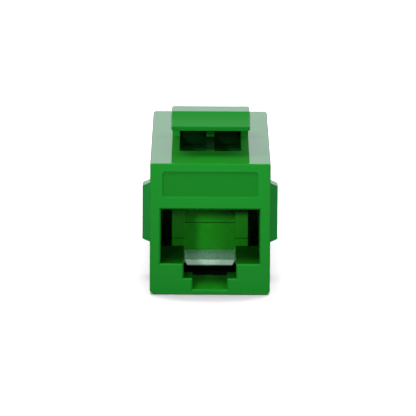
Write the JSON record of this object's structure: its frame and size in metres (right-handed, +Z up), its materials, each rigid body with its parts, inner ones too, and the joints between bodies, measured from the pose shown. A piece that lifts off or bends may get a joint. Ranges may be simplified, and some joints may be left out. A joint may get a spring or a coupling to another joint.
{
  "type": "rj45 inline coupler",
  "caption": "Snap-in inline coupler for modular network plugs, with a plug port at each end, spring contacts on a circuit board, side stops and a flexing top latch.",
  "frame": {"origin": "centre of the flat underside, under the seam between the two half shells", "axes": "+Y from the front port to the rear port, +Z up towards the latch, +X to the right as the front port is looked into"},
  "size_m": [0.0166, 0.036, 0.0215],
  "materials": {
    "shell_plastic": "satin moulded ABS",
    "carrier_plastic": "satin moulded plastic",
    "board_laminate": "glass-fibre laminate with green solder mask",
    "contact_metal": "gold plated"
  },
  "bodies": {
    "root": {"front_shell": "shell_plastic", "rear_shell": "shell_plastic", "circuit_board": "board_laminate", "front_contact_carrier": "carrier_plastic", "rear_contact_carrier": "carrier_plastic", "front_contact_1": "contact_metal", "front_contact_2": "contact_metal", "front_contact_3": "contact_metal", "front_contact_4": "contact_metal", "front_contact_5": "contact_metal", "front_contact_6": "contact_metal", "front_contact_7": "contact_metal", "front_contact_8": "contact_metal", "rear_contact_1": "contact_metal", "rear_contact_2": "contact_metal", "rear_contact_3": "contact_metal", "rear_contact_4": "contact_metal", "rear_contact_5": "contact_metal", "rear_contact_6": "contact_metal", "rear_contact_7": "contact_metal", "rear_contact_8": "contact_metal"}
  },
  "joints": []
}
